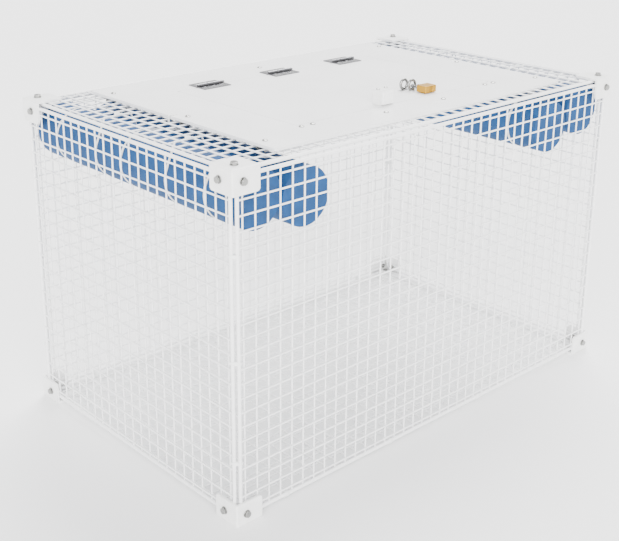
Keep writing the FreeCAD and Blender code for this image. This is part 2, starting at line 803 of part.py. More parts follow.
bracket_mid = val("fixed_eye_along") - 1
bracket_bar = block(
    "bracket_bar",
    (bracket_mid - val("bracket_half_width"), -val("bracket_front"), bracket_top - val("bracket_thick")),
    (bracket_mid + val("bracket_half_width"), -val("bracket_back"), bracket_top),
    Height="bracket_thick",
    Width="bracket_front - bracket_back",
    Length="2 * bracket_half_width",
)
bracket_stop = block(
    "bracket_stop",
    (3 * PITCH - 10, PAIR_Y - 10, bracket_top - 1),
    (3 * PITCH + 10, PAIR_Y + 10, bracket_top + 5),
)
node(
    "lock_bracket",
    cut(
        "bracket_drilled",
        fused("bracket_blank", bracket_bar, bracket_stop),
        *bores("bracket_bore", [BRACKET_BOLT], "screw_radius + hole_play", level=bracket_top - 6, deep="8"),
        *bores("bracket_eye_bore", [FIXED_EYE], "eye_stem + hole_play", level=bracket_top - 6, deep="8"),
    ),
)

# --------------------------------------------------------------------------- padlock

LEG_Z = PLATE_TOP + val("shackle_level")
SPREAD = val("shackle_spread")
BOW_X = LID_EYE[0] + SPREAD / 2
BOW_Y = LID_EYE[1] - val("bow_centre")
CASE_BACK = BOW_Y - val("case_stand_off")


def shackle_shape():
    """Two legs joined by a half round bow; the leg inside the eye is the short one."""
    short_end = CASE_BACK - val("short_leg_depth")
    long_end = CASE_BACK - val("long_leg_depth")
    left, right = BOW_X - SPREAD / 2, BOW_X + SPREAD / 2
    path = Part.Wire(
        [
            Part.LineSegment(Vector(left, short_end, LEG_Z), Vector(left, BOW_Y, LEG_Z)).toShape(),
            Part.Arc(
                Vector(left, BOW_Y, LEG_Z),
                Vector(BOW_X, BOW_Y + SPREAD / 2, LEG_Z),
                Vector(right, BOW_Y, LEG_Z),
            ).toShape(),
            Part.LineSegment(Vector(right, BOW_Y, LEG_Z), Vector(right, long_end, LEG_Z)).toShape(),
        ]
    )
    section = Part.Wire(
        Part.Circle(Vector(left, short_end, LEG_Z), Vector(0, 1, 0), val("shackle_radius")).toShape()
    )
    return path.makePipeShell([section], True, False)


feature("padlock_shackle", shackle_shape())

case_half = val("case_width") / 2
case_body, case_pad = plate_body(
    "case_body",
    [(-case_half, -val("case_long")), (case_half, -val("case_long")), (case_half, 0), (-case_half, 0)],
    "case_thick",
    0,
)
body_fillet(case_body, case_pad, "case_sides", "case_round", upright)
case_body.Placement.Base = Vector(BOW_X, CASE_BACK, LEG_Z - val("case_thick") / 2)
leg_bores = [
    primitive("Cylinder", f"leg_bore_{n}", (BOW_X + s * SPREAD / 2, CASE_BACK + 1, LEG_Z), "-y",
              Radius="shackle_radius + leg_play", Height="long_leg_depth + 2")
    for n, s in enumerate(SIGNS)
]
CASE_FRONT = CASE_BACK - val("case_long")
plug_bore = primitive("Cylinder", "plug_bore", (BOW_X, CASE_FRONT - 1, LEG_Z), "y",
                      Radius="plug_radius + plug_play", Height="plug_long + 1.3")
node("padlock_case", cut("case_bored", case_body, *leg_bores, plug_bore))
plug = primitive("Cylinder", "plug_barrel", (BOW_X, CASE_FRONT + 0.1, LEG_Z), "y",
                 Radius="plug_radius", Height="plug_long")
keyway = block(
    "keyway",
    (BOW_X - val("keyway_width") / 2, CASE_FRONT - 1, LEG_Z - val("keyway_tall") / 2),
    (BOW_X + val("keyway_width") / 2, CASE_FRONT + val("keyway_deep"), LEG_Z + val("keyway_tall") / 2),
    Length="keyway_width",
    Height="keyway_tall",
)
node("key_plug", cut("key_plug_shape", plug, keyway))

# --------------------------------------------------------------------------- floats and ties

FLOATS = {
    "left_outer": (-val("outer_float_along"), val("outer_float_level")),
    "left_inner": (-val("inner_float_along"), val("inner_float_level")),
    "right_inner": (val("inner_float_along"), val("inner_float_level")),
    "right_outer": (val("outer_float_along"), val("outer_float_level")),
}
for name, (x, z) in FLOATS.items():
    node(
        f"float_{name}",
        primitive("Cylinder", f"float_{name}_foam", (x, -val("float_length") / 2, z), "y",
                  Radius="float_radius", Height="float_length"),
    )


def tangent_point(x, z, cx, cz, radius, side):
    """Where a straight line from (x, z) touches a circle, on its left (-1) or right (1)."""
    dx, dz = x - cx, z - cz
    gap = math.hypot(dx, dz)
    turn = side * math.acos(radius / gap)
    angle = math.atan2(dz, dx) - turn
    return cx + radius * math.cos(angle), cz + radius * math.sin(angle)


def hanging_loop(cx, cz, x0, x1, top, radius):
    """A closed outline in XZ: under a float, and straight up to a level run over the mesh."""
    left = tangent_point(x0, top, cx, cz, radius, -1)
    right = tangent_point(x1, top, cx, cz, radius, 1)
    low = (cx, cz - radius)
    p = {k: Vector(v[0], 0, v[1]) for k, v in
         {"left": left, "right": right, "low": low, "a": (x0, top), "b": (x1, top)}.items()}
    return Part.Wire(
        [
            Part.LineSegment(p["a"], p["left"]).toShape(),
            Part.Arc(p["left"], p["low"], p["right"]).toShape(),
            Part.LineSegment(p["right"], p["b"]).toShape(),
            Part.LineSegment(p["b"], p["a"]).toShape(),
        ]
    )


def pair_loop(first, second, radius):
    """A closed outline in XZ drawn tight round two floats."""
    (ax, az), (bx, bz) = first, second
    angle = math.atan2(bz - az, bx - ax)
    side = Vector(-math.sin(angle), 0, math.cos(angle)) * radius
    end = Vector(math.cos(angle), 0, math.sin(angle)) * radius
    a, b = Vector(ax, 0, az), Vector(bx, 0, bz)
    return Part.Wire(
        [
            Part.LineSegment(a + side, b + side).toShape(),
            Part.Arc(b + side, b + end, b - side).toShape(),
            Part.LineSegment(b - side, a - side).toShape(),
            Part.Arc(a - side, a - end, a + side).toShape(),
        ]
    )


def band(outer, inner):
    """A flat closed band between two outlines in XZ, as wide as a tie, centred on Y = 0."""
    width = Vector(0, val("tie_width"), 0)
    solid = Part.Face(outer).extrude(width).cut(Part.Face(inner).extrude(width))
    return solid.translated(-width / 2)


def tie_head(x, y, z):
    """The square lock of a cable tie, centred on a point, flat side across Y."""
    long, wide, thick = val("tie_head_long"), val("tie_head_wide"), val("tie_head_thick")
    return Part.makeBox(long, wide, thick, Vector(x - long / 2, y - wide / 2, z - thick / 2))


THICK, PLAY = val("tie_thick"), val("tie_play")
TIE_ROWS = (-4.5 * PITCH, 3.5 * PITCH)
PAIR_ROWS = (-8.5 * PITCH, 0.5 * PITCH, 8.5 * PITCH)
top_ties, pair_ties = [], []
for s in SIGNS:
    cx, cz = s * val("outer_float_along"), val("outer_float_level")
    x0, x1 = sorted((s * 18 * PITCH, s * 16 * PITCH))
    r_in = val("float_radius") + PLAY
    inner = hanging_loop(cx, cz, x0, x1, ROOF + PLAY, r_in)
    outer = hanging_loop(cx, cz, x0 - THICK, x1 + THICK, ROOF + PLAY + THICK, r_in + THICK)
    ring = band(outer, inner).fuse(tie_head(s * 17 * PITCH, 0, ROOF + PLAY + val("tie_head_thick") / 2))
    top_ties += [ring.translated(Vector(0, y, 0)) for y in TIE_ROWS]
    ends = [FLOATS[f"{'left' if s < 0 else 'right'}_{which}"] for which in ("outer", "inner")]
    ends.sort()
    ring = band(pair_loop(*ends, r_in + THICK), pair_loop(*ends, r_in))
    x_low = s * val("inner_float_along")
    z_low = val("inner_float_level") - r_in - (THICK + val("tie_head_thick")) / 2
    ring = ring.fuse(tie_head(x_low, 0, z_low))
    pair_ties += [ring.translated(Vector(0, y, 0)) for y in PAIR_ROWS]
feature("float_top_ties", Part.makeCompound(top_ties))
feature("float_pair_ties", Part.makeCompound(pair_ties))


def edge_tie():
    """A cable tie round the two border rods of an edge that runs along Z.

    Its own corner of the mesh is the origin, with the mesh along +X and +Y.
    """
    low, high = -PLAY, INSET + ROD + PLAY
    width = val("tie_width")
    outer = Part.makeBox(high - low + 2 * THICK, high - low + 2 * THICK, width,
                         Vector(low - THICK, low - THICK, -width / 2))
    inner = Part.makeBox(high - low, high - low, width, Vector(low, low, -width / 2))
    head_thick, head_long = val("tie_head_thick"), val("tie_head_long")
    head = Part.makeBox(head_long, head_thick, val("tie_head_wide"),
                        Vector(low + 2, low - head_thick, -val("tie_head_wide") / 2))
    tail = Part.makeBox(THICK, 9, 3.2, Vector(low + 4, low - head_thick - 4, -1.6))
    return outer.cut(inner).fuse([head, tail]).removeSplitter()


def edge_turn(along_x, along_y, along_z, x, y, z):
    """A placement from the directions that the tie's own X, Y and Z take."""
    return Placement(
        FreeCAD.Matrix(
            along_x[0], along_y[0], along_z[0], x,
            along_x[1], along_y[1], along_z[1], y,
            along_x[2], along_y[2], along_z[2], z,
            0, 0, 0, 1,
        )
    )


TIE_LEVELS = [MID_Z + n * PITCH for n in (-7.5, -0.5, 6.5)]
EDGE_TURNS = {
    (-1, -1): ((1, 0, 0), (0, 1, 0), (0, 0, 1)),
    (1, -1): ((0, 1, 0), (-1, 0, 0), (0, 0, 1)),
    (1, 1): ((-1, 0, 0), (0, -1, 0), (0, 0, 1)),
    (-1, 1): ((0, -1, 0), (1, 0, 0), (0, 0, 1)),
}
edge = edge_tie()
upright_ties = [
    edge.transformed(edge_turn(*turn, sx * HALF_X, sy * HALF_Y, z).toMatrix(), True)
    for (sx, sy), turn in EDGE_TURNS.items()
    for z in TIE_LEVELS
]
feature("vertical_edge_ties", Part.makeCompound(upright_ties))
BOTTOM_TURNS = {
    -1: ((0, 0, 1), (0, 1, 0), (-1, 0, 0)),
    1: ((0, 0, 1), (0, -1, 0), (1, 0, 0)),
}
bottom_ties = [
    edge.transformed(edge_turn(*turn, x * PITCH, sy * HALF_Y, FLOOR).toMatrix(), True)
    for sy, turn in BOTTOM_TURNS.items()
    for x in (-15, -5, 5, 15)
]
feature("bottom_edge_ties", Part.makeCompound(bottom_ties))


def sheet_tie(s):
    """A tie through the sheet's slot and round the mesh wire beside the sheet's end."""
    low, high = UNDER_ROOF - PLAY - THICK, PLATE_TOP + PLAY + THICK
    width, head_wide = val("tie_width"), val("tie_head_wide")
    x0, x1 = SHEET_TIE_X - THICK / 2, sheet_half + 2 * PLAY + 2 * THICK
    y0, head_y0 = SHEET_TIE_Y - width / 2, SHEET_TIE_Y - head_wide / 2
    outer = Part.makeBox(x1 - x0, width, high - low, Vector(x0, y0, low))
    inner = Part.makeBox(x1 - x0 - 2 * THICK, width, high - low - 2 * THICK,
                         Vector(x0 + THICK, y0, low + THICK))
    head = Part.makeBox(5, head_wide, 3, Vector(x0 + 1, head_y0, high - THICK))
    shape = outer.cut(inner).fuse(head)
    return shape if s > 0 else shape.mirror(Vector(0, 0, 0), Vector(1, 0, 0))


feature("sheet_ties", Part.makeCompound([sheet_tie(s) for s in SIGNS]))

# --------------------------------------------------------------------------- check and write

doc.recompute()
for obj in doc.Objects:
    if {"Invalid", "Error"} & set(obj.State):
        raise RuntimeError(f"{obj.Name} failed: {obj.State}")
os.makedirs("parts", exist_ok=True)
for label, obj in nodes.items():
    shape = obj.Shape
    if shape.isNull() or not shape.isValid() or not shape.Solids:
        raise RuntimeError(f"{label} is not a valid solid")
    shape.exportStep(f"parts/{label}.step")
    print(label, len(shape.Solids), round(shape.Volume, 1))
print(len(nodes), "nodes")
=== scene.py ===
"""Looks of the floating holding pen: round coated wires, cable ties, foam floats and hardware.

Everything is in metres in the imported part's own frame: +X along the pen, +Y towards the hinges,
+Z up, with the origin in the middle of the underside.
"""

import json
import math

import bmesh
import bpy
from mathutils import Matrix, Quaternion, Vector
from mathutils.geometry import convex_hull_2d


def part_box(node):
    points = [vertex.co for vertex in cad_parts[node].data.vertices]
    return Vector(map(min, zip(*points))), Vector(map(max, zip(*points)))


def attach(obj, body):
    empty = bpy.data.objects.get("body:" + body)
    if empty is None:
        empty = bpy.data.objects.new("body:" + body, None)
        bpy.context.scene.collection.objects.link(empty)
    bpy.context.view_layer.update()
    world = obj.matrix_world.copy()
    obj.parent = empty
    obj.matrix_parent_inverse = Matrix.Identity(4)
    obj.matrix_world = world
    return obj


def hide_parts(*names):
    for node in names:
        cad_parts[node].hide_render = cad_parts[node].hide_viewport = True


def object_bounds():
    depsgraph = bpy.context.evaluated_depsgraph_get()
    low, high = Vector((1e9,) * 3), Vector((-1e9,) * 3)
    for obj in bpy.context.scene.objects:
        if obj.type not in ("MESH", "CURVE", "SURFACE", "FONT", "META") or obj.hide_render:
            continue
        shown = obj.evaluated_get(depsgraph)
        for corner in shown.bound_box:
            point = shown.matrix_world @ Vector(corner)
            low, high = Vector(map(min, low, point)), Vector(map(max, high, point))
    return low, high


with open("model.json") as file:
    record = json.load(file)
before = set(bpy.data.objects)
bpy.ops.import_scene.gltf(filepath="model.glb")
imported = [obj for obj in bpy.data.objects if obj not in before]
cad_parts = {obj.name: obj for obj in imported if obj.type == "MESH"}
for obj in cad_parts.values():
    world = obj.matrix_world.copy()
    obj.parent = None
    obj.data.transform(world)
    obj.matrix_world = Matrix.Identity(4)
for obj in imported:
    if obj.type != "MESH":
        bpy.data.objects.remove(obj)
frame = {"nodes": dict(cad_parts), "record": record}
CAD_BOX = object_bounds()

MM = 0.001
X, Y, Z = Vector((1, 0, 0)), Vector((0, 1, 0)), Vector((0, 0, 1))
AXES = (X, Y, Z)

# the mesh: cell size, wire and border rod radii, the rod's bend, and each wire layer's offset
PITCH = 25.4 * MM
WIRE_R, ROD_R, ROD_BEND = 1.55 * MM, 3.2 * MM, 11 * MM
LAYER = 1.5 * MM

# the ties, and how far they press the foam in
TIE_THICK, TIE_WIDE = 1.2 * MM, 4.8 * MM
FLOAT_DENT = 1.2 * MM

# --------------------------------------------------------------------------- materials


def material(name, colour, roughness, metallic=0.0, tint=0.03, grain=60.0, stretch=(1, 1, 1),
             bump=0.0, bump_grain=400.0, rough_play=0.05):
    """A procedural finish: even colour with a slow drift, uneven gloss and a fine bump."""
    mat = bpy.data.materials.new(name)
    mat.use_nodes = True
    nodes, links = mat.node_tree.nodes, mat.node_tree.links
    shader = nodes["Principled BSDF"]
    shader.inputs["Metallic"].default_value = metallic
    place = nodes.new("ShaderNodeTexCoord")
    mapping = nodes.new("ShaderNodeMapping")
    mapping.inputs["Scale"].default_value = stretch
    links.new(place.outputs["Object"], mapping.inputs["Vector"])
    noise = nodes.new("ShaderNodeTexNoise")
    noise.inputs["Scale"].default_value = grain
    noise.inputs["Detail"].default_value = 4
    links.new(mapping.outputs["Vector"], noise.inputs["Vector"])
    ramp = nodes.new("ShaderNodeValToRGB")
    for stop, level, factor in zip(ramp.color_ramp.elements, (0.35, 0.65), (1 - tint, 1 + tint)):
        stop.position = level
        stop.color = (*(min(1.0, c * factor) for c in colour), 1)
    links.new(noise.outputs["Fac"], ramp.inputs["Fac"])
    links.new(ramp.outputs["Color"], shader.inputs["Base Color"])
    span = nodes.new("ShaderNodeMapRange")
    span.inputs["To Min"].default_value = max(0.02, roughness - rough_play)
    span.inputs["To Max"].default_value = roughness + rough_play
    links.new(noise.outputs["Fac"], span.inputs["Value"])
    links.new(span.outputs["Result"], shader.inputs["Roughness"])
    if bump:
        fine = nodes.new("ShaderNodeTexNoise")
        fine.inputs["Scale"].default_value = bump_grain
        fine.inputs["Detail"].default_value = 3
        links.new(mapping.outputs["Vector"], fine.inputs["Vector"])
        relief = nodes.new("ShaderNodeBump")
        relief.inputs["Strength"].default_value = bump
        relief.inputs["Distance"].default_value = 0.2 * MM
        links.new(fine.outputs["Fac"], relief.inputs["Height"])
        links.new(relief.outputs["Normal"], shader.inputs["Normal"])
    return mat


MATERIALS = {
    "coated_wire": material("coated_wire", (0.90, 0.90, 0.90), 0.32, bump=0.15, bump_grain=900),
    "cap_plastic": material("cap_plastic", (0.89, 0.89, 0.88), 0.38, bump=0.12, bump_grain=1500),
    "sheet_plastic": material("sheet_plastic", (0.88, 0.88, 0.88), 0.36, tint=0.015, grain=14,
                              bump=0.08, bump_grain=700),
    "handle_plastic": material("handle_plastic", (0.89, 0.89, 0.88), 0.4, bump=0.2,
                               bump_grain=900, stretch=(1, 1, 6)),
    "tie_nylon": material("tie_nylon", (0.86, 0.87, 0.86), 0.3, bump=0.05, bump_grain=1200),
    "stainless": material("stainless", (0.30, 0.30, 0.29), 0.22, metallic=1.0, tint=0.08,
                          grain=300, stretch=(1, 1, 5), bump=0.05, bump_grain=1800),
    "hinge_steel": material("hinge_steel", (0.20, 0.20, 0.21), 0.14, metallic=1.0, tint=0.05,
                            grain=120, stretch=(0.2, 3, 3), bump=0.03, bump_grain=900),
    "chrome": material("chrome", (0.36, 0.36, 0.37), 0.1, metallic=1.0, tint=0.03, grain=80),
    "brass": material("brass", (0.50, 0.27, 0.03), 0.3, metallic=1.0, tint=0.06, grain=250,
                      stretch=(1, 8, 1), bump=0.05, bump_grain=1200),
    "float_foam": material("float_foam", (0.002, 0.052, 0.17), 0.78, tint=0.16, grain=35,
                           bump=0.7, bump_grain=650, rough_play=0.08),
}
SLOT_OF = {part["node"]: part["material_slot"] for part in frame["record"]["subparts"]}
BODY_OF = {node: body for body, members in frame["record"]["behaviour"]["bodies"].items()
           for node in members}

for label, cad in frame["nodes"].items():
    for holder in cad.material_slots:
        holder.material = MATERIALS[SLOT_OF[label]]

# --------------------------------------------------------------------------- building meshes

FLAT_ANGLE = math.radians(0.3)
HEX_SLOPE = 0.58


def turns_of(sides, offset=0.0):
    """Evenly spaced angles round a full turn."""
    return [2 * math.pi * (k + offset) / sides for k in range(sides)]


class Builder:
    """Collects rods, tubes, turned and swept shapes into one mesh."""

    def __init__(self):
        self.points = []
        self.faces = []

    def rings(self, rings, closed_ends=True, loop=False):
        """Joins rings of equally many points by quads, and closes the two ends."""
        start, sides = len(self.points), len(rings[0])
        for ring in rings:
            self.points.extend(tuple(p) for p in ring)
        count = len(rings)
        for n in range(count if loop else count - 1):
            a, b = start + n * sides, start + (n + 1) % count * sides
            for k in range(sides):
                j = (k + 1) % sides
                self.faces.append((a + k, a + j, b + j, b + k))
        if closed_ends and not loop:
            self.faces.append(tuple(start + k for k in reversed(range(sides))))
            self.faces.append(tuple(start + (count - 1) * sides + k for k in range(sides)))

    def rod(self, a, b, radius, sides=10):
        """A straight round bar."""
        place = aimed(a, b - a)
        length = (b - a).length
        self.turned([(radius, 0), (radius, length)], place, sides)

    def turned(self, profile, place, sides, loop=False):
        """A shape turned about +Z from (radius, height) points, then placed."""
        self.rings(
            [[place @ Vector((r * math.cos(t), r * math.sin(t), h)) for t in turns_of(sides)]
             for r, h in profile],
            loop=loop,
        )

    def hexed(self, across, low, high, place, chamfer, bore=0.0, both=False):
        """A hexagon across its corners with a turned chamfer, bored through if bore is given."""
        sides, flat = 48, across * math.cos(math.pi / 6)

        def reach(t):
            return flat / math.cos((t + math.pi / 6) % (math.pi / 3) - math.pi / 6)

        def drop(t):
            return max(0.0, reach(t) - flat * 0.98) * chamfer

        def ring(radius, height):
            return [place @ Vector((radius(t) * math.cos(t), radius(t) * math.sin(t), height(t)))
                    for t in turns_of(sides)]

        def hub(_):
            return max(bore, flat * 0.02)

        def crown(_):
            return flat * 0.98

        rings = [
            ring(hub, lambda t: low),
            ring(crown, lambda t: low) if both else ring(reach, lambda t: low),
            ring(reach, lambda t: low + (drop(t) if both else 0)),
            ring(reach, lambda t: high - drop(t)),
            ring(crown, lambda t: high),
            ring(hub, lambda t: high),
        ]
        self.rings(rings, closed_ends=False, loop=bool(bore))
        if not bore:
            last = len(self.points) - sides
            self.faces.append(tuple(last + k for k in range(sides)))

    def band(self, path, across, wide, thick):
        """A flat strap swept round a closed path; it lies outside the path."""
        count = len(path)
        middle = sum(path, Vector()) / count
        rings = []
        for n, p in enumerate(path):
            along = (path[(n + 1) % count] - path[n - 1]).normalized()
            out = along.cross(across).normalized()
            if out.dot(p - middle) < 0:
                out = -out
            side = across * wide / 2
            rings.append([p - side, p + side, p + side + out * thick, p - side + out * thick])
        self.rings(rings, loop=True)

    def block(self, place, size):
        """A box centred on a placement."""
        half = Vector(size) / 2
        low = [Vector((sx * half.x, sy * half.y, -half.z)) for sx, sy in
               ((-1, -1), (1, -1), (1, 1), (-1, 1))]
        high = [Vector((p.x, p.y, half.z)) for p in low]
        self.rings([[place @ p for p in low], [place @ p for p in high]])

    def piece(self, name, nodes, bevel=0.0, sharp=35):
        """The finished object, in place of one or more CAD nodes."""
        mesh = bpy.data.meshes.new(name)
        mesh.from_pydata(self.points, [], self.faces)
        finished(name, mesh, nodes, bevel, sharp)


def finished(name, mesh, nodes, bevel, sharp=35):
    """Sets the outside, the shading, the finish and the body of a new piece."""
    shape = bmesh.new()
    shape.from_mesh(mesh)
    bmesh.ops.recalc_face_normals(shape, faces=shape.faces)
    shape.to_mesh(mesh)
    shape.free()
    mesh.polygons.foreach_set("use_smooth", [True] * len(mesh.polygons))
    if not bevel:
        mesh.set_sharp_from_angle(angle=math.radians(sharp))
    piece = bpy.data.objects.new(name, mesh)
    bpy.context.scene.collection.objects.link(piece)
    slot = SLOT_OF[nodes[0]]
    mesh.materials.append(MATERIALS[slot])
    if bevel:
        soft = piece.modifiers.new("soft_edges", "BEVEL")
        soft.width = bevel
        soft.segments = 2
        soft.limit_method = "ANGLE"
        soft.angle_limit = math.radians(sharp)
        soft.use_clamp_overlap = False
        soft.harden_normals = True
    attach(piece, BODY_OF[nodes[0]])
    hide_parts(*nodes)


def aimed(point, direction):
    """A placement at a point with +Z along a direction."""
    turn = direction.to_track_quat("Z", "Y").to_matrix().to_4x4()
    return Matrix.Translation(point) @ turn


def joined_up(node):
    """A CAD node's mesh with its doubled vertices merged."""
    shape = bmesh.new()
    shape.from_mesh(frame["nodes"][node].data)
    bmesh.ops.remove_doubles(shape, verts=shape.verts, dist=1e-6)
    return shape


def softened(node, bevel):
    """A CAD node's own shape, with its sharp edges rounded off where a bevel is given."""
    shape = joined_up(node)
    if bevel:
        bmesh.ops.dissolve_limit(shape, angle_limit=FLAT_ANGLE, verts=shape.verts,
                                 edges=shape.edges)
    mesh = bpy.data.meshes.new(node + "_soft")
    shape.to_mesh(mesh)
    shape.free()
    if "custom_normal" in mesh.attributes:
        mesh.attributes.remove(mesh.attributes["custom_normal"])
    finished(node + "_soft", mesh, [node], bevel)


def islands(node):
    """The box of every separate solid in a CAD node."""
    shape = joined_up(node)
    left, found = set(shape.verts), []
    while left:
        stack, group = [left.pop()], []
        while stack:
            vert = stack.pop()
            group.append(vert.co.copy())
            for edge in vert.link_edges:
                other = edge.other_vert(vert)
                if other in left:
                    left.remove(other)
                    stack.append(other)
        low = Vector(min(p[k] for p in group) for k in range(3))
        high = Vector(max(p[k] for p in group) for k in range(3))
        found.append((low, high))
    shape.free()
    return sorted(found, key=lambda box: tuple(round(c, 4) for c in box[0]))


def pointed(box, longest=True):
    """A solid's outer end on its longest or shortest axis, and the direction into the pen."""
    low, high = box
    size = high - low
    axis = (max if longest else min)(range(3), key=lambda k: size[k])
    middle = (low + high) / 2
    centre = (CAD_BOX[0] + CAD_BOX[1]) / 2
    outward = 1 if middle[axis] > centre[axis] else -1
    end = middle.copy()
    end[axis] = high[axis] if outward > 0 else low[axis]
    return end, -outward * AXES[axis]


def belt(circles, origin, u, v, steps=48):
    """A path drawn tight round circles (x, y, radius) in the plane of u and v."""
    points = [
        Vector((x + r * math.cos(t), y + r * math.sin(t)))
        for x, y, r in circles
        for t in turns_of(steps)
    ]
    return [origin + u * points[n].x + v * points[n].y for n in convex_hull_2d(points)]


# --------------------------------------------------------------------------- mesh panels

HATCH_X = 9.5 * PITCH
HATCH_Y = (-6 * PITCH, 5 * PITCH)
BORDER_GAP = 3.2 * MM


def wire_lines(length):
    """Where the crossing wires lie across a panel, from its middle."""
    gaps = int((length - 4 * ROD_R - BORDER_GAP) / PITCH)
    return [(n - gaps / 2) * PITCH for n in range(gaps + 1)]


def spans(at, reach, window):
    """The stretches of one wire: whole, or on either side of a window it would cross."""
    if window and window[0] + MM < at < window[1] - MM:
        return [(-reach, window[2]), (window[3], reach)]
    return [(-reach, reach)]


def mesh_panel(node, window=None):
    """Two layers of welded wires inside a bent border rod."""
    low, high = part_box(node)
    size, middle = high - low, (low + high) / 2
    normal = min(range(3), key=lambda k: size[k])
    iu, iv = (k for k in range(3) if k != normal)
    u, v, w = AXES[iu], AXES[iv], AXES[normal]
    reach_u, reach_v = size[iu] / 2 - ROD_R, size[iv] / 2 - ROD_R
    across, along = window or (None, None)
    made = Builder()
    for at in wire_lines(size[iu]):
        for a, b in spans(at, reach_v, across):
            base = middle + u * at + w * LAYER
            made.rod(base + v * a, base + v * b, WIRE_R)
    for at in wire_lines(size[iv]):
        for a, b in spans(at, reach_u, along):
            base = middle + v * at - w * LAYER
            made.rod(base + u * a, base + u * b, WIRE_R)
    corners = [(sx * (reach_u - ROD_BEND), sy * (reach_v - ROD_BEND), ROD_BEND)
               for sx in (-1, 1) for sy in (-1, 1)]
    path = belt(corners, middle, u, v, 32)
    rings = []
    for n, p in enumerate(path):
        tangent = (path[(n + 1) % len(path)] - path[n - 1]).normalized()
        side = tangent.cross(w)
        rings.append([p + (side * math.cos(t) + w * math.sin(t)) * ROD_R for t in turns_of(14)])
    made.rings(rings, loop=True)
    made.piece(node + "_wires", [node], sharp=60)


for face in ("front", "back", "left", "right", "floor"):
    mesh_panel(face + "_panel")
mesh_panel(
    "top_panel",
    ((-HATCH_X, HATCH_X, *HATCH_Y), (*HATCH_Y, -HATCH_X, HATCH_X)),
)

# --------------------------------------------------------------------------- floats

FLOATS = {name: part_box("float_" + name)
          for name in ("left_outer", "left_inner", "right_inner", "right_outer")}
FOAM_R = (FLOATS["left_outer"][1].z - FLOATS["left_outer"][0].z) / 2
STRAPPED_R = FOAM_R - 0.8 * FLOAT_DENT
END_ROUND = 3 * MM
DENT_FLAT, DENT_SLOPE = 2.6 * MM, 6.4 * MM
ROWS = {"top": sorted({round((b[0].y + b[1].y) / 2, 4) for b in islands("float_top_ties")}),
        "pair": sorted({round((b[0].y + b[1].y) / 2, 4) for b in islands("float_pair_ties")})}


def float_centre(name):
    """The middle of one float."""
    low, high = FLOATS[name]
    return (low + high) / 2


for name, (low, high) in FLOATS.items():
    rows = ROWS["pair"] + (ROWS["top"] if name.endswith("outer") else [])
    length = high.y - low.y
    profile = [(FOAM_R - END_ROUND * (1 - math.sin(a)), END_ROUND * (1 - math.cos(a)))
               for a in (math.pi / 2 * k / 5 for k in range(6))]
    marks = sorted(y - low.y + d * MM for y in rows for d in (-9, -6, -4, -2.6, 0, 2.6, 4, 6, 9))

    def dent(at):
        """How far the ties press the foam in, at a distance along the float."""
        gap = min(abs(at - (y - low.y)) for y in rows)
        return FLOAT_DENT * max(0.0, 1 - max(0.0, gap - DENT_FLAT) / DENT_SLOPE) ** 2

    profile += [(FOAM_R - dent(m), m) for m in marks]
    profile += [(r, length - h) for r, h in reversed(profile[:6])]
    foam = Builder()
    centre = float_centre(name)
    foam.turned(profile, aimed(Vector((centre.x, low.y, centre.z)), Y), 72)
    foam.piece(f"float_{name}_foam", ["float_" + name], sharp=60)

# --------------------------------------------------------------------------- cable ties

HEAD_LONG, HEAD_WIDE, HEAD_THICK = 8 * MM, 6.5 * MM, 4.5 * MM
TAIL_LONG, TAIL_WIDE, TAIL_THICK = 7 * MM, 3.2 * MM, 1.1 * MM
STRAP_SOFT = 0.35 * MM


def tie(made, circles, origin, u, v, head_at, head_along):
    """One tie: a strap round the circles, with its lock and cut tail at a point of the path."""
    across = u.cross(v)
    made.band(belt(circles, origin, u, v), across, TIE_WIDE, TIE_THICK)
    out = (head_at - origin).cross(across).cross(across) * -1
    out = (out - head_along * out.dot(head_along)).normalized()
    middle = head_at + out * HEAD_THICK / 2
    place = Matrix.Translation(middle) @ Matrix((head_along, across, out)).transposed().to_4x4()
    made.block(place, (HEAD_LONG, HEAD_WIDE, HEAD_THICK))
    slot = place @ Matrix.Translation((HEAD_LONG * 0.12, 0, HEAD_THICK * 0.35))
    made.block(slot, (HEAD_LONG * 0.4, HEAD_WIDE * 0.6, HEAD_THICK * 0.5))
    end = place @ Matrix.Translation((HEAD_LONG / 2 + TAIL_LONG / 2 - MM, 0, HEAD_THICK * -0.1))
    made.block(end, (TAIL_LONG, TAIL_WIDE, TAIL_THICK))


LEFT_BOX, FRONT_BOX, FLOOR_BOX = (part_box(n + "_panel") for n in ("left", "front", "floor"))
EDGE_X, EDGE_Y, EDGE_Z = -LEFT_BOX[0].x, -FRONT_BOX[0].y, FLOOR_BOX[0].z
SIDE_STEP = FRONT_BOX[0].x - LEFT_BOX[0].x
TIGHT = ROD_R + 0.15 * MM
NEAR, FAR = ROD_R, SIDE_STEP + ROD_R
EDGE_PAIR = ((FAR, NEAR, TIGHT), (NEAR, FAR, TIGHT))


def edge_ties(name, node, corner):
    """Ties round the two border rods that meet at an edge of the pen."""
    made = Builder()
    for box in islands(node):
        middle = (box[0] + box[1]) / 2
        origin, u, v = corner(middle)
        heart = origin + (u + v) * (NEAR + FAR) / 2
        lock = heart - (u + v).normalized() * (TIGHT + 0.6 * TIE_THICK)
        tie(made, EDGE_PAIR, origin, u, v, lock, (v - u).normalized())
    made.piece(name, [node], bevel=STRAP_SOFT)


def side(value):
    """The side of the pen's middle that a place lies on, as a sign."""
    return -1 if value < 0 else 1


edge_ties(
    "edge_ties_upright",
    "vertical_edge_ties",
    lambda m: (Vector((side(m.x) * EDGE_X, side(m.y) * EDGE_Y, m.z)),
               -side(m.x) * X, -side(m.y) * Y),
)
edge_ties(
    "edge_ties_bottom",
    "bottom_edge_ties",
    lambda m: (Vector((m.x, side(m.y) * EDGE_Y, EDGE_Z)), -side(m.y) * Y, Z),
)

